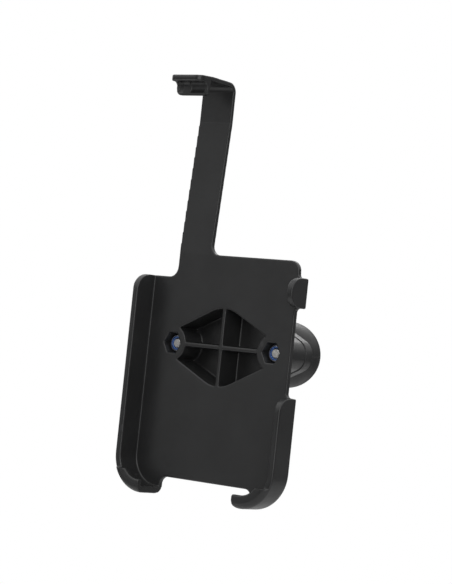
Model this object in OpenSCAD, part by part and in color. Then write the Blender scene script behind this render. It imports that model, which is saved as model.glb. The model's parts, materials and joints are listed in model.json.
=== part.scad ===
// Form-fit phone cradle with a top latch and a ball base.
// Each sub-part is drawn in the cradle's front view: x to the right, y up, z towards the viewer,
// with the phone's front glass at z = 0 and its centre at the origin.
// stand_up() then turns that view upright and puts the ball's centre at the origin.

/* [Phone] */
// Width of the phone that the pocket is made for
phone_w = 71.5; // [68:0.5:76]
// Height of the phone
phone_h = 149.6; // [142:0.2:158]
// Thickness of the phone
phone_t = 8.25; // [7.5:0.05:9.5]

/* [Tray] */
// Thickness of the side and bottom walls
wall_t = 2.6; // [2.2:0.1:3]
// Thickness of the floor behind the phone
floor_t = 1.8; // [1.6:0.1:2.4]
// Outer radius of the two bottom corners
corner_r = 14; // [12:0.5:16]
// How far the walls stand in front of the glass
wall_rise = 0.6; // [0.2:0.1:1]
// How far the corner lips stand in front of the glass
lip_rise = 2; // [1.8:0.1:2.6]
// Width of the corner lips, measured inwards from the outside
lip_w = 4.9; // [4:0.1:6]
// Height of the left wall's top above the phone's centre
left_top = 3.8; // [0:0.2:6]
// Height of the right wall's top above the phone's centre
right_top = -36.4; // [-42:0.2:-30]
// Height of the side finger's middle above the phone's centre
finger_y = 1.35; // [0:0.05:4]
// Width of the side finger
finger_w = 10.9; // [9:0.1:12]

/* [Top latch] */
// Distance of the latch's middle to the left of the phone's centre
latch_x = 17.4; // [15:0.1:19]
// Width of the latch and of the spine that carries it
latch_w = 15.6; // [14:0.1:17]
// How far the latch's lip hangs down over the phone's top edge
hook_overlap = 4; // [3:0.1:4.5]
// How far the thumb tab stands in front of the glass
tab_reach = 7.4; // [6:0.1:9]

/* [Ball base] */
// Diameter of the ball
ball_d = 25.4; // [25:0.1:26]
// Distance from the base's mounting face to the ball's centre
ball_reach = 25.8; // [25:0.1:28]
// Height of the ball below the phone's centre
ball_drop = 20.9; // [15:0.1:25]
// Distance between the base's two screws
screw_span = 48.6; // [46:0.2:50]
// Radius of the base's rounded tips
tip_r = 6.3; // [6:0.1:6.5]
// Radius of the base's round middle
middle_r = 16.5; // [15:0.1:18]
// Thickness of the base plate
base_t = 3.9; // [3.5:0.1:4.5]
// Depth of the boss between the tray's floor and the base
boss_h = 11; // [10.8:0.1:12]

/* [Hidden] */
$fn = 64;
// Small overlap that keeps touching shapes joined
eps = 0.01;
// How far a cutting shape runs past the surface that it cuts
over = 1;

// Pocket, from the phone's size and its clearances
side_gap = 0.65;
end_gap = 0.1;
back_gap = 0.15;
pocket_half = phone_w / 2 + side_gap;
pocket_bottom = -phone_h / 2 - end_gap;
outer_half = pocket_half + wall_t;
outer_bottom = pocket_bottom - wall_t;
floor_front = -phone_t - back_gap;
floor_rear = floor_front - floor_t;
corner_x = outer_half - corner_r;
corner_y = outer_bottom + corner_r;
inner_r = corner_r - wall_t;

// Roundings of the rim
rear_round = 3.5;
edge_round = 0.65;
left_end_round = 6.5;
right_end_round = 5.5;
rear_corner_round = 2.4;

// Corner lips and the charging gap between them
lip_cut = 5.8;
lip_top = corner_y - lip_cut;
lip_back = 0.2;
lip_round = 2.4;
left_lip_end = -24.5;
left_gap_end = left_lip_end + 1.3;
right_lip_end = 21.8;
lip_end_round = 2.5;
gap_h = 4;
gap_top = pocket_bottom + gap_h;
gap_round = 3;

// Floor outline
floor_right = 33.6;
floor_top = 13;
floor_round = 4;
foot_round = 4;
root_round = 1.6;
finger_half = finger_w / 2;

// Spine and latch: the spine leans back from the floor to the hinge line
latch_left = -latch_x - latch_w / 2;
latch_right = -latch_x + latch_w / 2;
strip_t = 1.5;
bend_r = 3.9;
bend_z = -9.4;
strip_rear = bend_z - bend_r;
hinge_y = phone_h / 2 - 4.3;
hinge_z = strip_rear + strip_t / 2;
bead_r = strip_t / 2 - eps;
bead_bottom = hinge_y - strip_t / 2;
hinge_gap = 0.05;
spine_straight = 8;
strip_front = strip_rear + strip_t;
web_top = phone_h / 2 + 3.3;
bend_top = web_top - 0.5;
hook_front = 2.6;
hook_t = 1.6;
hook_back = hook_front - hook_t;
hook_round = 2.2;
hook_bottom = phone_h / 2 - hook_overlap;
hook_fillet = 0.8;
tab_t = 2.4;
tab_bottom = web_top - tab_t;
tab_round = 3;
tab_fillet = 1.9;
tab_nose = 1;
tab_front_top = web_top - 0.2;
socket_drop = 0.6;
scoop_r = 2.7;
scoop_deep = 0.8;
scoop_y = hook_bottom + 2.8;
hook_rib_x = -latch_x - 2.6;
hook_rib_w = 3.2;
hook_side_left = 0.8;
hook_side_right = 1.6;

// Ball base, boss and fasteners: an M4 screw passes through the base and the boss into a lock nut
base_front = floor_rear - boss_h;
base_rear = base_front - base_t;
ball_z = base_front - ball_reach;
neck_r = 7;
neck_flare = 3;
core_r = 9;
jacket_gap = 0.02;
screw_x = screw_span / 2;
screw_r = 1.95;
screw_hole_r = 2.25;
screw_l = 14;
head_r = 4;
head_h = 2.7;
cross_w = 1;
cross_l = 4.2;
cross_deep = 1.5;
nut_across = 7;
nut_bore_r = 2;
nut_hex_h = 3.3;
nut_h = 5;
collar_r = 3.2;
insert_r = 2.6;
insert_h = 1.2;
nut_seat = base_front + 5.2;
nut_pocket_across = nut_across + 0.3;
boss_inset = 0.3;
boss_wall = 2.2;
boss_back = 3.2;
rib_t = 1.6;
pillar_r = 6.6;
insert_base = nut_h - insert_h - 0.28;
head_rim = 1.6;

// From the front view to the upright part with its origin at the ball's centre
module stand_up() {
    translate([0, ball_z, ball_drop])
        rotate([90, 0, 0])
            children();
}

// A 2-D shape given thickness from z0 up to z1
module slab(z0, z1) {
    translate([0, 0, z0])
        linear_extrude(z1 - z0)
            children();
}

// A 2-D side profile, drawn as (z, y), given width from x0 to x1
module across(x0, x1) {
    translate([x0, 0, 0])
        rotate([0, 90, 0])
            mirror([1, 0, 0])
                linear_extrude(x1 - x0)
                    children();
}

// A 2-D section, drawn as (x, z), run along y from 0
module run(length) {
    rotate([90, 0, 0])
        translate([0, 0, -length])
            linear_extrude(length)
                children();
}

// The same section turned through the bottom right corner
module turn() {
    rotate([0, 0, -90])
        rotate_extrude(angle = 90)
            children();
}

// The same section run to the left along the bottom
module bottom_run(length) {
    rotate([0, 0, -90])
        mirror([0, 1, 0])
            run(length)
                children();
}

// Draws a shape towards +x and +y, or mirrored towards the signs that are given
module towards(sx, sy) {
    mirror([sx < 0 ? 1 : 0, 0])
        mirror([0, sy < 0 ? 1 : 0])
            children();
}

// What lies between a square corner and its rounding of radius r; sx and sy point from the corner
// towards the arc's centre. Taken away it rounds an outside corner, and added it rounds an inside one.
module corner(at, r, sx, sy) {
    translate(at)
        towards(sx, sy)
            difference() {
                translate([-eps, -eps])
                    square(r + eps);
                translate([r, r])
                    circle(r);
            }
}

// Rectangle between two corners, with a radius at all four
module rounded_rect(x0, y0, x1, y1, r) {
    difference() {
        translate([x0, y0])
            square([x1 - x0, y1 - y0]);
        corner([x0, y0], r, 1, 1);
        corner([x1, y0], r, -1, 1);
        corner([x0, y1], r, 1, -1);
        corner([x1, y1], r, -1, -1);
    }
}

// Section of the tray's rim, as (distance from the corner's centre, z): wall, floor edge and roundings
module rim_section() {
    difference() {
        translate([inner_r - rear_round, floor_rear])
            square([wall_t + rear_round, wall_rise - floor_rear]);
        translate([inner_r - rear_round - eps, floor_front])
            square([rear_round + eps, wall_rise - floor_front + eps]);
        corner([corner_r, floor_rear], rear_round, -1, 1);
        corner([corner_r, wall_rise], edge_round, -1, -1);
        corner([inner_r, wall_rise], edge_round, 1, -1);
    }
}

// Side wall, corner and bottom wall up to the middle on the right; a mirror gives the left one
module rim_side(top, end_round) {
    translate([corner_x, corner_y, 0]) {
        difference() {
            run(top - corner_y)
                rim_section();
            across(inner_r - rear_round - over, corner_r + over) {
                corner([wall_rise, top - corner_y], end_round, -1, -1);
                corner([floor_rear, top - corner_y], rear_corner_round, 1, -1);
            }
        }
        turn()
            rim_section();
        bottom_run(corner_x)
            rim_section();
    }
}

// Lip over the phone's bottom right corner and the bottom wall, cut off level at lip_top
module corner_lip() {
    difference() {
        translate([corner_x, corner_y, 0]) {
            turn()
                lip_section();
            bottom_run(corner_x)
                lip_section();
        }
        translate([0, lip_top, -over])
            cube([outer_half + over, corner_r, lip_rise + 2 * over]);
    }
}

// Section of a corner lip, as (distance from the corner's centre, z), with its foot sunk in the wall
module lip_section() {
    difference() {
        union() {
            translate([corner_r - lip_w, lip_back])
                square([lip_w, lip_rise - lip_back]);
            translate([inner_r, -over])
                square([wall_t, lip_rise]);
        }
        corner([corner_r, lip_rise], lip_round, -1, -1);
        corner([corner_r - lip_w, lip_rise], edge_round, 1, -1);
    }
}

// The waste between the lips, where the phone's charging socket stays open. The left end is slanted.
module charging_gap() {
    translate([0, outer_bottom - over, 0])
        run(gap_top - outer_bottom + over)
            polygon([
                [left_lip_end, lip_rise + over],
                [left_lip_end, lip_rise],
                [left_gap_end, floor_front],
                [right_lip_end, floor_front],
                [right_lip_end, lip_rise + over]
            ]);
    slab(floor_rear - over, lip_rise + over) {
        rounded_rect(left_gap_end, outer_bottom - corner_r, right_lip_end, gap_top, gap_round);
        corner([right_lip_end, outer_bottom], lip_end_round, 1, 1);
    }
}

// Outline of the floor between the walls
module floor_outline() {
    translate([-pocket_half, corner_y])
        square([pocket_half + floor_right, left_top - corner_y]);
    translate([0, corner_y])
        square([pocket_half, right_top - corner_y]);
    translate([-corner_x, pocket_bottom])
        square([2 * corner_x, corner_y - pocket_bottom]);
    for (side = [-1, 1])
        translate([side * corner_x, corner_y])
            circle(inner_r);
    difference() {
        translate([latch_left, 0])
            square([floor_right - latch_left, floor_top]);
        corner([floor_right, floor_top], floor_round, -1, -1);
    }
    corner([latch_left, left_top], foot_round, -1, 1);
    corner([latch_right, floor_top], foot_round, 1, 1);
    corner([floor_right, right_top], root_round, 1, 1);
    corner([floor_right, finger_y - finger_half], root_round, 1, -1);
    corner([floor_right, finger_y + finger_half], root_round, 1, 1);
}

// The strip that carries the latch, leaning back to a socket at the hinge line
module spine() {
    difference() {
        across(latch_left, latch_right)
            polygon([
                [floor_rear, floor_top - eps],
                [floor_front, floor_top - eps],
                [strip_front, hinge_y - spine_straight],
                [strip_front, hinge_y - socket_drop],
                [strip_rear, hinge_y - socket_drop],
                [strip_rear, hinge_y - spine_straight]
            ]);
        translate([latch_left - over, hinge_y, hinge_z])
            rotate([0, 90, 0])
                cylinder(r = strip_t / 2 + hinge_gap, h = latch_w + 2 * over);
    }
}

// Finger that holds the phone's right side: a round-ended tab
module side_finger() {
    difference() {
        translate([corner_x, finger_y - finger_half, 0])
            run(finger_w)
                rim_section();
        across(corner_x + inner_r - rear_round - over, outer_half + over)
            for (end = [-1, 1]) {
                corner([wall_rise, finger_y + end * finger_half], finger_half - eps, -1, -end);
                corner([floor_rear, finger_y + end * finger_half], rear_corner_round, 1, -end);
            }
    }
}

// Outline shared by the boss and the base: a round middle and two round tips, joined by tangents
module diamond(grow = 0) {
    wide = middle_r + grow;
    tip = tip_r + grow;
    a = acos((wide - tip) / screw_x);
    circle(wide);
    for (side = [-1, 1]) {
        translate([side * screw_x, 0])
            circle(tip);
        polygon([
            for (p = [[wide, 0, 1], [tip, screw_x, 1], [tip, screw_x, -1], [wide, 0, -1]])
                [side * (p[1] + p[0] * cos(a)), p[2] * p[0] * sin(a)]
        ]);
    }
}

// Cored-out hollow of the boss, split by a cross of ribs and kept clear of the screw pillars
module boss_hollow() {
    difference() {
        diamond(-boss_wall);
        for (side = [-1, 1])
            translate([side * screw_x, 0])
                circle(pillar_r);
        square([rib_t, 3 * middle_r], center = true);
        square([2 * screw_span, rib_t], center = true);
    }
}

// Hollow, screw holes and nut pockets of the boss
module boss_waste() {
    slab(base_front + boss_back, floor_front + over)
        boss_hollow();
    for (side = [-1, 1])
        translate([side * screw_x, 0, 0]) {
            slab(base_front - over, nut_seat + over)
                circle(screw_hole_r);
            translate([0, 0, nut_seat])
                hexagon(nut_pocket_across, floor_front - nut_seat + over);
        }
}

// Hexagonal prism, from its width across flats
module hexagon(across_flats, h) {
    cylinder(r = across_flats / 2 / cos(30), h = h, $fn = 6);
}

// One moulding: floor, walls, corner lips, side finger, spine and boss
module cradle_tray() {
    color("#27282a")
        stand_up()
            difference() {
                union() {
                    rim_side(right_top, right_end_round);
                    mirror([1, 0, 0])
                        rim_side(left_top, left_end_round);
                    for (side = [0, 1])
                        mirror([side, 0, 0])
                            corner_lip();
                    slab(floor_rear, floor_front)
                        floor_outline();
                    spine();
                    side_finger();
                    translate([0, -ball_drop, 0])
                        slab(base_front, floor_front)
                            diamond(-boss_inset);
                }
                charging_gap();
                translate([0, -ball_drop, 0])
                    boss_waste();
            }
}

// Latch over the phone's top edge: strip, bend, web, hook and thumb tab
module top_latch() {
    color("#2b2c2e")
        stand_up()
            difference() {
                across(latch_left, latch_right)
                    latch_section();
                translate([0, hook_bottom, 0])
                    run(web_top - hook_bottom + over) {
                        corner([latch_left, tab_reach], tab_round, 1, -1);
                        corner([latch_right, tab_reach], tab_round, -1, -1);
                    }
                slab(hook_back - over, hook_front + over) {
                    corner([latch_left, hook_bottom], hook_round, 1, 1);
                    corner([latch_right, hook_bottom], hook_round, -1, 1);
                }
                hook_scoop(latch_left + hook_side_left, hook_rib_x - hook_rib_w / 2);
                hook_scoop(hook_rib_x + hook_rib_w / 2, latch_right - hook_side_right);
            }
}

// Side profile of the latch, as (z, y)
module latch_section() {
    difference() {
        polygon([
            [strip_rear, bead_bottom],
            [strip_rear, bend_top],
            [bend_z, bend_top],
            [0, web_top],
            [tab_reach, tab_front_top],
            [tab_reach, bead_bottom]
        ]);
        corner([strip_rear, bead_bottom], bead_r, 1, 1);
        corner([strip_front, bead_bottom], bead_r, -1, 1);
        corner([strip_rear, bend_top], bend_r, 1, -1);
        corner([tab_reach, tab_front_top], tab_nose, -1, -1);
        under_web();
        under_tab();
        corner([tab_reach, tab_bottom], tab_nose, -1, 1);
    }
}

// Open space between the strip, the web and the hook
module under_web() {
    difference() {
        polygon([
            [strip_front, bead_bottom - over],
            [strip_front, bend_top - strip_t],
            [bend_z, bend_top - strip_t],
            [0, web_top - strip_t],
            [hook_back, web_top - strip_t],
            [hook_back, bead_bottom - over]
        ]);
        corner([strip_front, bend_top - strip_t], bend_r - strip_t, 1, -1);
        corner([hook_back, web_top - strip_t], hook_fillet, -1, -1);
    }
}

// Open space below the hook and under the thumb tab
module under_tab() {
    translate([hook_back - over, bead_bottom - over])
        square([hook_t + 2 * over, hook_bottom - bead_bottom + over]);
    difference() {
        translate([hook_front, bead_bottom - over])
            square([tab_reach - hook_front + over, tab_bottom - bead_bottom + over]);
        corner([hook_front, tab_bottom], tab_fillet, 1, -1);
    }
}

// Rounded recess in the hook's front, up to the tab's underside
module hook_scoop(x0, x1) {
    across(x0, x1)
        intersection() {
            translate([hook_front - scoop_deep + scoop_r, scoop_y])
                circle(scoop_r);
            translate([0, hook_bottom])
                square([tab_reach, tab_bottom - hook_bottom]);
        }
}

// Cast base: drilled plate, flared neck and the core inside the ball
module ball_base() {
    color("#3a3b3d")
        stand_up()
            translate([0, -ball_drop, 0]) {
                difference() {
                    slab(base_rear, base_front)
                        diamond();
                    for (side = [-1, 1])
                        translate([side * screw_x, 0, base_rear - over])
                            cylinder(r = screw_hole_r, h = base_t + 2 * over);
                }
                rotate_extrude()
                    neck_section();
            }
}

// Half section of the neck and core, as (radius, z)
module neck_section() {
    difference() {
        translate([0, ball_z])
            square([neck_r + neck_flare, base_rear - ball_z + over]);
        translate([neck_r, ball_z - over])
            square([neck_flare + over, base_rear - neck_flare - ball_z + over]);
        translate([neck_r + neck_flare, base_rear - neck_flare])
            circle(neck_flare);
    }
    intersection() {
        translate([0, ball_z])
            circle(core_r);
        translate([0, ball_z - core_r])
            square([core_r, 2 * core_r]);
    }
}

// Moulded ball around the core
module ball_jacket() {
    color("#1d1e1f")
        stand_up()
            translate([0, -ball_drop, ball_z])
                difference() {
                    sphere(d = ball_d);
                    sphere(r = core_r + jacket_gap);
                    cylinder(r = neck_r + jacket_gap, h = ball_d);
                }
}

// Repeats its child at the base's two screws, with z = 0 at the given height
module at_screws(z) {
    stand_up()
        for (side = [-1, 1])
            translate([side * screw_x, -ball_drop, z])
                children();
}

// Pan-head screws: flat under the head, with a cross recess
module base_screws() {
    color("#8e9094")
        at_screws(base_rear)
            difference() {
                union() {
                    cylinder(r = screw_r, h = screw_l);
                    rotate_extrude()
                        pan_head_section();
                }
                for (angle = [0, 90])
                    rotate([0, 0, angle])
                        translate([-cross_l / 2, -cross_w / 2, -head_h - eps])
                            cube([cross_l, cross_w, cross_deep]);
            }
}

// Half section of a pan head below z = 0, with a rounded rim
module pan_head_section() {
    difference() {
        translate([0, -head_h])
            square([head_r, head_h]);
        corner([head_r, -head_h], head_rim, -1, 1);
    }
}

// Lock nuts: hexagon with a round collar that holds the insert
module lock_nuts() {
    color("#9fa1a5")
        at_screws(nut_seat)
            difference() {
                union() {
                    hexagon(nut_across, nut_hex_h);
                    cylinder(r = collar_r, h = nut_h);
                }
                translate([0, 0, -over])
                    cylinder(r = nut_bore_r, h = nut_h + 2 * over);
                translate([0, 0, insert_base - jacket_gap])
                    cylinder(r = insert_r + jacket_gap, h = insert_h + over);
            }
}

// Nylon rings pressed into the lock nuts
module nut_inserts() {
    color("#3f5f9a")
        at_screws(nut_seat + insert_base)
            difference() {
                cylinder(r = insert_r, h = insert_h);
                translate([0, 0, -over])
                    cylinder(r = nut_bore_r, h = insert_h + 2 * over);
            }
}

cradle_tray();
top_latch();
ball_base();
ball_jacket();
base_screws();
lock_nuts();
nut_inserts();
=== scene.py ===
"""Looks, studio and camera for the phone cradle. Everything is in metres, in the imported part's frame."""

import json
import math
import bmesh
import bpy
from mathutils import Matrix, Vector


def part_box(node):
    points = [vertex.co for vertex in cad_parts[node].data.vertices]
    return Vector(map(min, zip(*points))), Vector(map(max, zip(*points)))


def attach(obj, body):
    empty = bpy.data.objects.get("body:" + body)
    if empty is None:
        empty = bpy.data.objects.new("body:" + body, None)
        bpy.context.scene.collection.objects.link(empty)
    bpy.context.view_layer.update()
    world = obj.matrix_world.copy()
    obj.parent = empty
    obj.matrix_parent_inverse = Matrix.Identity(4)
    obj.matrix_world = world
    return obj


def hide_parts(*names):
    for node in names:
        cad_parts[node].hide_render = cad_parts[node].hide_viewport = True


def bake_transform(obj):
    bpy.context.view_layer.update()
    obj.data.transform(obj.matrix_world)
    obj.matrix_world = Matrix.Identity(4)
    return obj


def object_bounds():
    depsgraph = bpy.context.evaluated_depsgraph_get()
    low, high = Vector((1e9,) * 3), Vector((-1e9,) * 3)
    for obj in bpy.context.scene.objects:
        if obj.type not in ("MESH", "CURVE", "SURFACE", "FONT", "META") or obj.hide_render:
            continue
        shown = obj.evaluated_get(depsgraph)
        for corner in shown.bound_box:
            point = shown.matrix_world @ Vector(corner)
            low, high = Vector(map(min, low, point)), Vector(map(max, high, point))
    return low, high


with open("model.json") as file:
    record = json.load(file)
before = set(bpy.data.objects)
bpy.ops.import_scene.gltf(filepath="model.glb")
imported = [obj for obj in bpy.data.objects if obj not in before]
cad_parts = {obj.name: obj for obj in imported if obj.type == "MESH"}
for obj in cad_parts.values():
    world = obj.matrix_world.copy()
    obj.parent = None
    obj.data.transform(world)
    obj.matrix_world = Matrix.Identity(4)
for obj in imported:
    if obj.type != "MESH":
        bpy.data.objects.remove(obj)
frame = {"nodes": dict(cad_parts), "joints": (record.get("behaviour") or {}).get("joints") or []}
cad_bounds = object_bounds()

MM = 0.001

# Camera, aimed close to the middle of the phone's front
CAMERA_AZIMUTH = math.radians(41.587)
CAMERA_ELEVATION = math.radians(-1.306)
CAMERA_ROLL = math.radians(5.988)
CAMERA_DISTANCE = 870.26 * MM
CAMERA_LENS = 147.72
CAMERA_TARGET = Vector((7.45, -47.0, 20.31)) * MM

# The strip between tray and latch: how far below the hinge line the latch piece starts, and the block that
# closes the hinge's gap
STRIP_BELOW_HINGE = 8 * MM
HINGE_FILL = 2 * MM

# How far the boss is sunk into the base, so that no gap shows between their rounded edges
BOSS_SINK = 0.4 * MM

# How finely the moulded and cast pieces are remeshed, smoothed and thinned out
WELD = 0.001 * MM
TRAY_VOXEL = 0.28 * MM
BASE_VOXEL = 0.24 * MM
TRAY_SMOOTHING = 3
BASE_SMOOTHING = 12
TRAY_TRIANGLES = 185000
BASE_TRIANGLES = 120000

# Ball: radius of its hollow, radius and rounding of the hole for the neck, and the parting seam
BALL_CORE = 9.02 * MM
BALL_HOLE = 7.02 * MM
BALL_LIP = 0.5 * MM
PARTING_HEIGHT = 0.07 * MM
PARTING_WIDTH = 0.3 * MM

# M4 screws. A thread's turn is crest, flank, root and flank: THREAD_FLANK is the flanks' slope,
# and THREAD_CREST how much of the groove's depth the flat crest cuts off
SCREW_LENGTH = 14 * MM
SCREW_TIP = 0.5 * MM
SHANK_R = 1.95 * MM
SHANK_FILLET = 0.2 * MM
THREAD_PITCH = 0.7 * MM
THREAD_DEPTH = 0.38 * MM
THREAD_FLANK = 2.4
THREAD_CREST = 0.1
POINTS_PER_PITCH = 10

# Cross recess: length and width of its bars as shares of the head's radius
RECESS_TOP = (1.06, 0.26)
RECESS_BOTTOM = (0.24, 0.16)
RECESS_DEPTH = 1.5 * MM
RECESS_OVERRUN = 0.2 * MM
RECESS_TURN = math.radians(28)

# M4 lock nuts with their nylon rings
NUT_BORE = 2.0 * MM
BORE_CHAMFER = 0.3 * MM
SEAT_STEP = 0.12 * MM
HEX_HEIGHT = 3.3 * MM
COLLAR_R = 3.2 * MM
COLLAR_FOOT = 0.3 * MM
COLLAR_TAPER = 0.05 * MM
COLLAR_ROUND = 0.5 * MM
INSERT_R = 2.6 * MM
INSERT_HEIGHT = 1.2 * MM
INSERT_ROUND = 0.2 * MM
INSERT_CRIMP = 0.28 * MM
INSERT_GAP = 0.02 * MM

# Studio: brightness of the light tent low down, all round and overhead, with the heights on a
# unit sphere between which it changes
TENT_LOW = 0.40
TENT_LEVEL = 0.12
TENT_HIGH = 1.15
TENT_STOPS = ((-0.75, TENT_LOW), (-0.4, TENT_LEVEL), (0.2, TENT_LEVEL), (0.62, TENT_HIGH))

# Floor: how far it lies below the part, half its width and its grey
FLOOR_DROP = 120 * MM
FLOOR_HALF = 350 * MM
FLOOR_GREY = 0.6

# Softboxes: name, azimuth and elevation in degrees, width in metres and power in watts
SOFTBOX_DISTANCE = 1.2
SOFTBOXES = (
    ("key_back", -149, 44, 0.6, 2.6),
    ("fill_camera", 41, 12, 0.9, 5.5),
    ("fill_left", -98, 12, 0.7, 1.6),
    ("fill_front", -38, 8, 0.7, 0.7),
    ("fill_right", 136, 4, 0.7, 0.3),
)


# ---------------------------------------------------------------- mesh helpers


def add_piece(name, mesh):
    """Turns a bmesh into an object, with its face normals made consistent, and frees the bmesh."""
    data = bpy.data.meshes.new(name)
    bmesh.ops.recalc_face_normals(mesh, faces=mesh.faces)
    mesh.to_mesh(data)
    mesh.free()
    piece = bpy.data.objects.new(name, data)
    bpy.context.scene.collection.objects.link(piece)
    return piece


def welded(*nodes):
    """A bmesh with copies of CAD nodes, their split edges joined again."""
    mesh = bmesh.new()
    for node in nodes:
        mesh.from_mesh(frame["nodes"][node].data)
    bmesh.ops.remove_doubles(mesh, verts=mesh.verts, dist=WELD)
    return mesh


def apply_modifiers(piece):
    bpy.context.view_layer.update()
    graph = bpy.context.evaluated_depsgraph_get()
    old = piece.data
    mesh = bpy.data.meshes.new_from_object(piece.evaluated_get(graph))
    piece.modifiers.clear()
    piece.data = mesh
    bpy.data.meshes.remove(old)


def soften(piece, voxel, rounds, triangles):
    """Merges what overlaps, rounds the edges off and thins the flat parts of the mesh out."""
    remesh = piece.modifiers.new("remesh", "REMESH")
    remesh.mode = "VOXEL"
    remesh.voxel_size = voxel
    smooth = piece.modifiers.new("smooth", "SMOOTH")
    smooth.factor = 0.5
    smooth.iterations = rounds
    apply_modifiers(piece)
    count = sum(len(face.vertices) - 2 for face in piece.data.polygons)
    if count > triangles:
        thin = piece.modifiers.new("thin", "DECIMATE")
        thin.ratio = triangles / count
        apply_modifiers(piece)


def shade_smooth(piece, sharp_angle=None):
    """Smooth shading that keeps flat faces flat, with creases above an angle in degrees."""
    piece.data.shade_smooth()
    if sharp_angle:
        piece.data.set_sharp_from_angle(angle=math.radians(sharp_angle))
    weighted = piece.modifiers.new("weighted_normals", "WEIGHTED_NORMAL")
    weighted.keep_sharp = True


def split_off(piece, name, point, normal):
    """Cuts a piece at a plane. What lies in front of the plane becomes a piece of its own."""
    other = bpy.data.objects.new(name, piece.data.copy())
    bpy.context.scene.collection.objects.link(other)
    for part, in_front in ((piece, False), (other, True)):
        mesh = bmesh.new()
        mesh.from_mesh(part.data)
        cut = bmesh.ops.bisect_plane(
            mesh,
            geom=mesh.verts[:] + mesh.edges[:] + mesh.faces[:],
            plane_co=point,
            plane_no=normal,
            clear_inner=in_front,
            clear_outer=not in_front,
        )
        rim = [e for e in cut["geom_cut"] if isinstance(e, bmesh.types.BMEdge)]
        cap = bmesh.ops.contextual_create(mesh, geom=rim)
        bmesh.ops.triangulate(mesh, faces=cap["faces"])
        mesh.to_mesh(part.data)
        mesh.free()
    return other


def turned(name, outline, angles, place, radius=lambda r, h, angle: r):
    """A solid turned from an outline of (radius, height) points.

    The outline either starts and ends on the axis, or it is closed, as a ring's is.
    radius() can change a point's distance from the axis with its height and angle.
    """
    mesh = bmesh.new()
    rings = []
    for r, h in outline:
        around = angles if r > WELD else angles[:1]
        spokes = [(radius(r, h, a) if r > WELD else 0.0, a) for a in around]
        rings.append([mesh.verts.new((s * math.cos(a), s * math.sin(a), h)) for s, a in spokes])
    closed = len(rings[0]) > 1
    count = len(angles)
    for lower, upper in zip(rings, rings[1:] + (rings[:1] if closed else [])):
        for i in range(count):
            j = (i + 1) % count
            corners = ((lower, i), (lower, j), (upper, j), (upper, i))
            # A point on the axis stands for its whole ring, and counts once in a face
            loop = dict.fromkeys(ring[k % len(ring)] for ring, k in corners)
            mesh.faces.new(list(loop))
    bmesh.ops.transform(mesh, matrix=place, verts=mesh.verts)
    return add_piece(name, mesh)


def even_angles(count):
    return [2 * math.pi * i / count for i in range(count)]


def line(start, end, steps):
    """Points on a straight stretch of the outline, both ends included."""
    shares = [i / steps for i in range(steps + 1)]
    return [(start[0] + (end[0] - start[0]) * t, start[1] + (end[1] - start[1]) * t) for t in shares]


def arc(centre, r, start, end, steps):
    """Points on an arc in the outline's plane, from one angle to another in degrees."""
    turn = [math.radians(start + (end - start) * i / steps) for i in range(steps + 1)]
    return [(centre[0] + r * math.cos(t), centre[1] + r * math.sin(t)) for t in turn]


def facing_front(x, y):
    """Places a turned solid at x and y on the ball's level, with its height axis towards the phone."""
    return Matrix.Translation((x, y, 0)) @ Matrix.Rotation(math.pi / 2, 4, "X")


def add_box(mesh, low, high):
    """Adds a closed box between two corners to a bmesh."""
    size = high - low
    place = Matrix.Translation((low + high) / 2) @ Matrix.Diagonal((*size, 1))
    bmesh.ops.create_cube(mesh, size=1, matrix=place)


# ---------------------------------------------------------------- materials


class Shader:
    """A Principled material with short ways to add nodes."""

    def __init__(self, name):
        self.material = bpy.data.materials.new(name)
        self.material.use_nodes = True
        self.nodes = self.material.node_tree.nodes
        self.links = self.material.node_tree.links
        self.surface = self.nodes["Principled BSDF"]
        self.position = self.nodes.new("ShaderNodeTexCoord").outputs["Object"]
        self.normal = None

    def set(self, **values):
        for name, value in values.items():
            self.surface.inputs[name.replace("_", " ")].default_value = value

    def noise(self, size, detail=2.0, roughness=0.5):
        """Noise whose lumps are about that size."""
        node = self.nodes.new("ShaderNodeTexNoise")
        node.inputs["Scale"].default_value = 1 / size
        node.inputs["Detail"].default_value = detail
        node.inputs["Roughness"].default_value = roughness
        self.links.new(self.position, node.inputs["Vector"])
        return node.outputs["Fac"]

    def edges(self, low, high):
        """0 on flat and hollow places, 1 on edges that stick out."""
        geometry = self.nodes.new("ShaderNodeNewGeometry")
        return self.remap(geometry.outputs["Pointiness"], low, high, 0.0, 1.0)

    def remap(self, source, low, high, to_low, to_high):
        node = self.nodes.new("ShaderNodeMapRange")
        for name, value in (("From Min", low), ("From Max", high), ("To Min", to_low), ("To Max", to_high)):
            node.inputs[name].default_value = value
        self.links.new(source, node.inputs["Value"])
        return node.outputs["Result"]

    def mix(self, factor, first, second):
        """Mixes two colours by a factor."""
        node = self.nodes.new("ShaderNodeMix")
        node.data_type = "RGBA"
        self.links.new(factor, node.inputs["Factor"])
        for socket, value in zip((node.inputs[6], node.inputs[7]), (first, second)):
            if isinstance(value, tuple):
                socket.default_value = (*value, 1.0)
            else:
                self.links.new(value, socket)
        return node.outputs[2]

    def add(self, first, second):
        node = self.nodes.new("ShaderNodeMath")
        node.operation = "ADD"
        self.links.new(first, node.inputs[0])
        self.links.new(second, node.inputs[1])
        return node.outputs[0]

    def bump(self, height, depth):
        """Adds a relief that many metres deep on top of the earlier ones."""
        node = self.nodes.new("ShaderNodeBump")
        node.inputs["Distance"].default_value = depth
        self.links.new(height, node.inputs["Height"])
        if self.normal:
            self.links.new(self.normal, node.inputs["Normal"])
        self.normal = node.outputs["Normal"]
        self.links.new(self.normal, self.surface.inputs["Normal"])

    def feed(self, name, source):
        self.links.new(source, self.surface.inputs[name])


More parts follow.
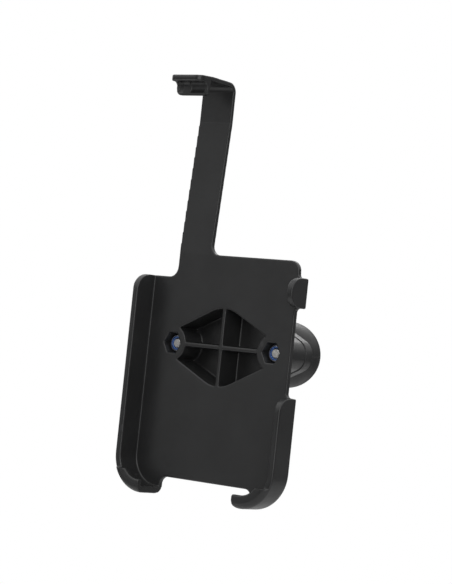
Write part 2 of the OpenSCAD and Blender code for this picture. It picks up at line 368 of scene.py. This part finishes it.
def moulded_plastic():
    """Black satin plastic: fine spark-eroded grain, faint flow marks and slightly polished edges."""
    s = Shader("moulded_plastic")
    patches = s.remap(s.noise(14 * MM, 4), 0.3, 0.7, 0.0, 1.0)
    body = s.mix(patches, (0.0135, 0.0137, 0.0141), (0.0185, 0.0187, 0.0191))
    s.feed("Base Color", s.mix(s.edges(0.52, 0.60), body, (0.030, 0.030, 0.031)))
    s.feed("Roughness", s.remap(s.noise(2.5 * MM, 5), 0.3, 0.7, 0.30, 0.40))
    s.bump(s.noise(0.22 * MM, 3, 0.65), 0.012 * MM)
    s.bump(s.noise(9 * MM, 1), 0.05 * MM)
    s.set(IOR=1.49)
    return s.material


def powder_coat():
    """Black powder coat: orange peel with a finer grit, rubbed a little on the edges."""
    s = Shader("powder_coat")
    patches = s.remap(s.noise(9 * MM, 3), 0.35, 0.65, 0.0, 1.0)
    body = s.mix(patches, (0.0110, 0.0112, 0.0114), (0.0165, 0.0165, 0.0168))
    s.feed("Base Color", s.mix(s.edges(0.53, 0.62), body, (0.045, 0.045, 0.046)))
    s.feed("Roughness", s.remap(s.noise(1.2 * MM, 4), 0.3, 0.7, 0.30, 0.42))
    s.bump(s.noise(0.9 * MM, 2), 0.045 * MM)
    s.bump(s.noise(0.16 * MM, 2, 0.6), 0.008 * MM)
    s.set(IOR=1.5)
    return s.material


def moulded_rubber():
    """Smooth black rubber with faint clouding and a few dull scuffs."""
    s = Shader("moulded_rubber")
    clouds = s.remap(s.noise(5 * MM, 4), 0.3, 0.7, 0.0, 1.0)
    s.feed("Base Color", s.mix(clouds, (0.0110, 0.0110, 0.0112), (0.0180, 0.0180, 0.0182)))
    s.feed("Roughness", s.add(
        s.remap(s.noise(3 * MM, 5), 0.3, 0.7, 0.42, 0.52),
        s.remap(s.noise(1.1 * MM, 6, 0.7), 0.62, 0.75, 0.0, 0.2),
    ))
    s.bump(s.noise(0.3 * MM, 3, 0.6), 0.006 * MM)
    s.bump(s.noise(6 * MM, 1), 0.04 * MM)
    s.set(IOR=1.5)
    return s.material


def bright_steel(name, light, dark, roughness, tint=None):
    """Plated or stainless steel with fine marks, stains and, where there is a tint, passivation colour."""
    s = Shader(name)
    stains = s.remap(s.noise(1.5 * MM, 5, 0.6), 0.4, 0.7, 0.0, 1.0)
    body = s.mix(stains, light, dark)
    if tint:
        body = s.mix(s.remap(s.noise(4 * MM, 2), 0.45, 0.7, 0.0, 0.6), body, tint)
    s.feed("Base Color", body)
    s.feed("Roughness", s.remap(s.noise(0.5 * MM, 5, 0.7), 0.3, 0.7, roughness, roughness + 0.18))
    s.bump(s.noise(0.12 * MM, 3, 0.7), 0.004 * MM)
    s.bump(s.noise(0.8 * MM, 2), 0.012 * MM)
    s.set(Metallic=1.0)
    return s.material


def blue_nylon():
    """Dull translucent blue nylon with fine machining grain."""
    s = Shader("blue_nylon")
    clouds = s.remap(s.noise(0.8 * MM, 4), 0.3, 0.7, 0.0, 1.0)
    s.feed("Base Color", s.mix(clouds, (0.030, 0.085, 0.26), (0.055, 0.13, 0.36)))
    s.feed("Roughness", s.remap(s.noise(0.4 * MM, 4), 0.3, 0.7, 0.34, 0.5))
    s.bump(s.noise(0.1 * MM, 3), 0.006 * MM)
    s.set(IOR=1.53, Subsurface_Weight=0.15)
    s.surface.inputs["Subsurface Radius"].default_value = (0.4 * MM, 0.5 * MM, 0.9 * MM)
    return s.material


def dress(piece, material, slot, body, *nodes):
    """Gives a piece its material, hides the CAD nodes that it stands for and puts it under its body, if it
    has one. The slot argument is not used.
    """
    piece.data.materials.clear()
    piece.data.materials.append(material)
    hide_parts(*nodes)
    if body:
        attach(piece, body)


# ---------------------------------------------------------------- tray and latch


def tray_and_latch():
    """One moulding: the tray with its spine, and the latch with its strip, cut off at the strip as a piece
    of its own.
    """
    hinge = Vector(frame["joints"][0]["pos_m"])
    low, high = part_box("top_latch")
    half_strip = high.y - hinge.y
    mesh = welded("cradle_tray", "top_latch")
    boss_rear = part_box("cradle_tray")[1].y
    for v in mesh.verts:
        if v.co.y > boss_rear - WELD:
            v.co.y += BOSS_SINK
    add_box(
        mesh,
        Vector((low.x, hinge.y - half_strip, hinge.z - HINGE_FILL)),
        Vector((high.x, hinge.y + half_strip, hinge.z + HINGE_FILL)),
    )
    tray = add_piece("tray_moulding", mesh)
    soften(tray, TRAY_VOXEL, TRAY_SMOOTHING, TRAY_TRIANGLES)
    latch = split_off(tray, "latch_moulding", hinge - Vector((0, 0, STRIP_BELOW_HINGE)), Vector((0, 0, 1)))
    plastic = moulded_plastic()
    shade_smooth(tray, sharp_angle=60)
    shade_smooth(latch, sharp_angle=60)
    dress(tray, plastic, "tray_plastic", "cradle", "cradle_tray")
    dress(latch, plastic, "latch_plastic", None, "top_latch")
    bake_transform(latch)


# ---------------------------------------------------------------- base and ball


def base_casting():
    """Cast plate, neck and ball core in one, with the rounded edges of a casting."""
    base = add_piece("base_casting", welded("ball_base"))
    soften(base, BASE_VOXEL, BASE_SMOOTHING, BASE_TRIANGLES)
    shade_smooth(base)
    dress(base, powder_coat(), "base_metal", "cradle", "ball_base")


def ball_moulding():
    """Rubber ball with the seam that its two mould halves leave."""
    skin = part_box("ball_jacket")[1].y - PARTING_HEIGHT
    seam_half = PARTING_WIDTH / 2
    seam_angle = seam_half / (skin + PARTING_HEIGHT)
    seams = (0, math.pi)
    steps = (-3, -2, -1.5, -1, -0.6, -0.3, 0, 0.3, 0.6, 1, 1.5, 2, 3)

    def from_seam(angle):
        return min(abs(math.remainder(angle - seam, 2 * math.pi)) for seam in seams)

    def with_seam(r, h, angle):
        if math.hypot(r, h) < skin - WELD:
            return r
        ridge = PARTING_HEIGHT * math.exp(-((from_seam(angle) * r / seam_half) ** 2))
        return r + ridge * r / skin

    # Spokes lie close together across the seam and evenly everywhere else
    plain = [a for a in even_angles(160) if from_seam(a) > 3.5 * seam_angle]
    close = [(seam + t * seam_angle) % (2 * math.pi) for seam in seams for t in steps]

    lip_r = skin - BALL_LIP
    rim = math.acos((BALL_HOLE + BALL_LIP) / lip_r)
    lip = (lip_r * math.cos(rim), lip_r * math.sin(rim))
    core_rim = math.acos(BALL_HOLE / BALL_CORE)
    core_mouth = BALL_CORE * math.sin(core_rim)
    outline = [(0.0, -skin)] + arc((0, 0), skin, -90, math.degrees(rim), 96)[1:]
    outline += arc(lip, BALL_LIP, math.degrees(rim), 180, 8)[1:]
    outline += line((BALL_HOLE, lip[1]), (BALL_HOLE, core_mouth), 6)[1:-1]
    outline += arc((0, 0), BALL_CORE, math.degrees(core_rim), -90, 48)[:-1] + [(0.0, -BALL_CORE)]
    ball = turned("ball_moulding", outline, sorted(plain + close), facing_front(0, 0), with_seam)
    shade_smooth(ball, sharp_angle=40)
    dress(ball, moulded_rubber(), "ball_rubber", "cradle", "ball_jacket")


# ---------------------------------------------------------------- fasteners


def recess_cutter(head_r, head_h, place):
    """Two crossed bars that taper into the head."""
    mesh = bmesh.new()
    for turn in (RECESS_TURN, RECESS_TURN + math.pi / 2):
        bar = bmesh.ops.create_cube(mesh, size=1)["verts"]
        for v in bar:
            deep = v.co.z > 0
            length, width = RECESS_BOTTOM if deep else RECESS_TOP
            v.co.x *= length * head_r
            v.co.y *= width * head_r
            v.co.z = -head_h + (RECESS_DEPTH if deep else -RECESS_OVERRUN)
        bmesh.ops.rotate(mesh, verts=bar, cent=(0, 0, 0), matrix=Matrix.Rotation(turn, 3, "Z"))
    bmesh.ops.transform(mesh, matrix=place, verts=mesh.verts)
    return add_piece("recess_cutter", mesh)


def threaded(r, h, angle):
    """Cuts a thread into a shank that starts at height 0, with a chamfered tip."""
    if h <= 0 or r < SHANK_R:
        return r
    phase = (h / THREAD_PITCH - angle / (2 * math.pi)) % 1.0
    groove = THREAD_DEPTH * min(1.0, max(0.0, THREAD_FLANK * abs(phase - 0.5) - THREAD_CREST))
    run_out = min(1.0, h / THREAD_PITCH)
    tip = max(0.0, h - (SCREW_LENGTH - SCREW_TIP))
    return r - groove * run_out - tip


def screw(name, x, y, head_r, head_h):
    """Pan-head screw with a cross recess and a rolled thread."""
    dome = 0.28 * head_h
    rim_r = 0.36 * head_h
    edge_h = 0.12 * head_h
    edge_inset = edge_h / 2
    crown = head_r - rim_r
    outline = [(crown * t / 10, -head_h + dome * (t / 10) ** 2) for t in range(11)]
    outline += arc((crown, -head_h + dome + rim_r), rim_r, -90, 0, 8)[1:]
    outline += [(head_r, -edge_h), (head_r - edge_inset, 0.0), (SHANK_R + SHANK_FILLET, 0.0)]
    steps = round(SCREW_LENGTH / THREAD_PITCH * POINTS_PER_PITCH)
    outline += line((SHANK_R, 0.0), (SHANK_R, SCREW_LENGTH), steps)[1:-1]
    outline += [(SHANK_R - SCREW_TIP, SCREW_LENGTH), (0.0, SCREW_LENGTH)]
    piece = turned(name, outline, even_angles(64), facing_front(x, y), threaded)
    cutter = recess_cutter(head_r, head_h, facing_front(x, y))
    cut = piece.modifiers.new("recess", "BOOLEAN")
    cut.operation = "DIFFERENCE"
    cut.use_self = True
    cut.object = cutter
    apply_modifiers(piece)
    bpy.data.objects.remove(cutter)
    shade_smooth(piece, sharp_angle=32)
    return piece


def hexagonal(flat_r):
    """Limits a turned solid to a hexagon with a corner on the x axis."""
    def limit(r, h, angle):
        return min(r, flat_r / math.cos(math.remainder(angle - math.pi / 6, math.pi / 3)))
    return limit


def lock_nut(name, x, seat, corner_r, height):
    """Hexagonal nut with chamfered ends and a collar crimped over its ring."""
    flat_r = corner_r * math.cos(math.pi / 6)
    chamfer = (corner_r - flat_r) * math.tan(math.radians(30))
    collar_base = HEX_HEIGHT + 0.4 * chamfer
    insert_top_r = INSERT_R + INSERT_GAP
    insert_base = height - INSERT_HEIGHT - INSERT_CRIMP
    outline = [(NUT_BORE + BORE_CHAMFER, 0.0)]
    outline += line((flat_r - SEAT_STEP, 0.0), (corner_r, chamfer), 4)
    outline += line((corner_r, HEX_HEIGHT - chamfer), (COLLAR_R, collar_base), 6)
    outline += [(COLLAR_R - COLLAR_TAPER, HEX_HEIGHT + COLLAR_FOOT)]
    collar_round = (COLLAR_R - COLLAR_TAPER - COLLAR_ROUND, height - COLLAR_ROUND)
    outline += arc(collar_round, COLLAR_ROUND, 0, 90, 6)
    outline += [(insert_top_r, height), (insert_top_r, insert_base), (NUT_BORE, insert_base)]
    outline += [(NUT_BORE, BORE_CHAMFER)]
    piece = turned(name, outline, even_angles(96), facing_front(x, seat), hexagonal(flat_r))
    shade_smooth(piece, sharp_angle=28)
    return piece


def nylon_ring(name, x, y):
    """Ring with rounded edges."""
    inner = NUT_BORE + INSERT_ROUND
    outer = INSERT_R - INSERT_ROUND
    top = INSERT_HEIGHT - INSERT_ROUND
    corners = ((outer, INSERT_ROUND), (outer, top), (inner, top), (inner, INSERT_ROUND))
    outline = []
    for corner, start in zip(corners, (-90, 0, 90, 180)):
        outline += arc(corner, INSERT_ROUND, start, start + 90, 4)
    piece = turned(name, outline, even_angles(64), facing_front(x, y))
    shade_smooth(piece, sharp_angle=40)
    return piece


def fasteners():
    """Screws, nuts and rings on both sides, with their places taken from the CAD nodes."""
    screws_low, screws_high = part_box("base_screws")
    nuts_low, nuts_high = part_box("lock_nuts")
    ring_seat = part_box("nut_inserts")[1].y
    head_r = screws_high.z
    screw_x = screws_high.x - head_r
    head_h = screws_high.y - screws_low.y - SCREW_LENGTH
    head_seat = screws_high.y - head_h
    nut_corner = nuts_high.x - screw_x
    nut_h = nuts_high.y - nuts_low.y
    screw_steel = bright_steel("stainless_steel", (0.62, 0.61, 0.59), (0.44, 0.43, 0.42), 0.22)
    nut_steel = bright_steel("zinc_plate", (0.66, 0.67, 0.70), (0.46, 0.47, 0.50), 0.26, (0.55, 0.58, 0.66))
    nylon = blue_nylon()
    for side, x in (("left", -screw_x), ("right", screw_x)):
        bolt = screw(f"screw_{side}", x, head_seat, head_r, head_h)
        dress(bolt, screw_steel, "screw_steel", "cradle", "base_screws")
        nut = lock_nut(f"nut_{side}", x, nuts_high.y, nut_corner, nut_h)
        dress(nut, nut_steel, "nut_steel", "cradle", "lock_nuts")
        ring = nylon_ring(f"nylon_ring_{side}", x, ring_seat)
        dress(ring, nylon, "insert_nylon", "cradle", "nut_inserts")


# ---------------------------------------------------------------- studio


def aim(direction, roll=0.0):
    """Rotation of a camera or light whose back points along a direction."""
    right = (-direction).cross(Vector((0, 0, 1))).normalized()
    up = right.cross(-direction)
    x = right * math.cos(roll) + up * math.sin(roll)
    y = up * math.cos(roll) - right * math.sin(roll)
    return Matrix((x, y, direction)).transposed().to_4x4()


def from_angles(azimuth, elevation):
    """Unit vector from the object towards a viewer at that azimuth and elevation, in radians."""
    level = math.cos(elevation)
    return Vector((math.sin(azimuth) * level, -math.cos(azimuth) * level, math.sin(elevation)))


def add_camera():
    data = bpy.data.cameras.new("camera")
    data.lens = CAMERA_LENS
    data.sensor_width = 36
    data.clip_start = 0.01
    data.clip_end = 20
    camera = bpy.data.objects.new("camera", data)
    back = from_angles(CAMERA_AZIMUTH, CAMERA_ELEVATION)
    place = CAMERA_TARGET + back * CAMERA_DISTANCE
    camera.matrix_world = Matrix.Translation(place) @ aim(back, CAMERA_ROLL)
    bpy.context.scene.collection.objects.link(camera)
    bpy.context.scene.camera = camera


def add_softbox(name, azimuth, elevation, size, power):
    """A square area light that faces the object from a direction given in degrees."""
    data = bpy.data.lights.new(name, "AREA")
    data.size = size
    data.energy = power
    light = bpy.data.objects.new(name, data)
    light.visible_camera = False
    back = from_angles(math.radians(azimuth), math.radians(elevation))
    light.matrix_world = Matrix.Translation(CAMERA_TARGET + back * SOFTBOX_DISTANCE) @ aim(back)
    bpy.context.scene.collection.objects.link(light)


def seen_white(nodes, links, shader, output):
    """Sends a shader to the output, and plain white where the camera looks straight at it."""
    path = nodes.new("ShaderNodeLightPath")
    mix = nodes.new("ShaderNodeMixShader")
    white = nodes.new("ShaderNodeEmission")
    links.new(path.outputs["Is Camera Ray"], mix.inputs[0])
    links.new(shader, mix.inputs[1])
    links.new(white.outputs[0], mix.inputs[2])
    links.new(mix.outputs[0], output.inputs[0])


def add_world():
    """A light tent: one brightness low down, a dimmer one all round and a bright one overhead."""
    world = bpy.data.worlds.new("studio")
    world.use_nodes = True
    nodes, links = world.node_tree.nodes, world.node_tree.links
    nodes.clear()
    direction = nodes.new("ShaderNodeTexCoord")
    split = nodes.new("ShaderNodeSeparateXYZ")
    shift = nodes.new("ShaderNodeMapRange")
    shift.inputs["From Min"].default_value = -1.0
    ramp = nodes.new("ShaderNodeValToRGB")
    ramp.color_ramp.interpolation = "EASE"
    background = nodes.new("ShaderNodeBackground")
    links.new(direction.outputs["Generated"], split.inputs[0])
    links.new(split.outputs["Z"], shift.inputs["Value"])
    links.new(shift.outputs["Result"], ramp.inputs["Fac"])
    links.new(ramp.outputs["Color"], background.inputs["Color"])
    while len(ramp.color_ramp.elements) < len(TENT_STOPS):
        ramp.color_ramp.elements.new(1.0)
    for element, (height, value) in zip(ramp.color_ramp.elements, TENT_STOPS):
        element.position = (height + 1) / 2
        element.color = (value, value, value, 1)
    output = nodes.new("ShaderNodeOutputWorld")
    seen_white(nodes, links, background.outputs[0], output)
    bpy.context.scene.world = world


def clear_from_below(nodes, links, output):
    """Lets a camera under a surface look through it."""
    seen = output.inputs[0].links[0].from_socket
    geometry = nodes.new("ShaderNodeNewGeometry")
    mix = nodes.new("ShaderNodeMixShader")
    clear = nodes.new("ShaderNodeBsdfTransparent")
    links.new(geometry.outputs["Backfacing"], mix.inputs[0])
    links.new(seen, mix.inputs[1])
    links.new(clear.outputs[0], mix.inputs[2])
    links.new(mix.outputs[0], output.inputs[0])


def add_floor():
    """Plain pale floor below the object."""
    mesh = bmesh.new()
    bmesh.ops.create_grid(mesh, x_segments=1, y_segments=1, size=FLOOR_HALF)
    bmesh.ops.translate(mesh, vec=(0, 0, cad_bounds[0][2] - FLOOR_DROP), verts=mesh.verts)
    floor = add_piece("floor", mesh)
    # An open sheet's normal may come out either way, and clear_from_below() needs it upwards
    if floor.data.polygons[0].normal.z < 0:
        floor.data.flip_normals()
    material = bpy.data.materials.new("pale_floor")
    material.use_nodes = True
    nodes, links = material.node_tree.nodes, material.node_tree.links
    surface = nodes["Principled BSDF"]
    surface.inputs["Base Color"].default_value = (FLOOR_GREY, FLOOR_GREY, FLOOR_GREY, 1)
    surface.inputs["Roughness"].default_value = 0.8
    seen_white(nodes, links, surface.outputs[0], nodes["Material Output"])
    clear_from_below(nodes, links, nodes["Material Output"])
    floor.data.materials.append(material)


tray_and_latch()
base_casting()
ball_moulding()
fasteners()

add_camera()
add_world()
add_floor()
for softbox in SOFTBOXES:
    add_softbox(*softbox)

bpy.context.scene.view_settings.view_transform = "Standard"
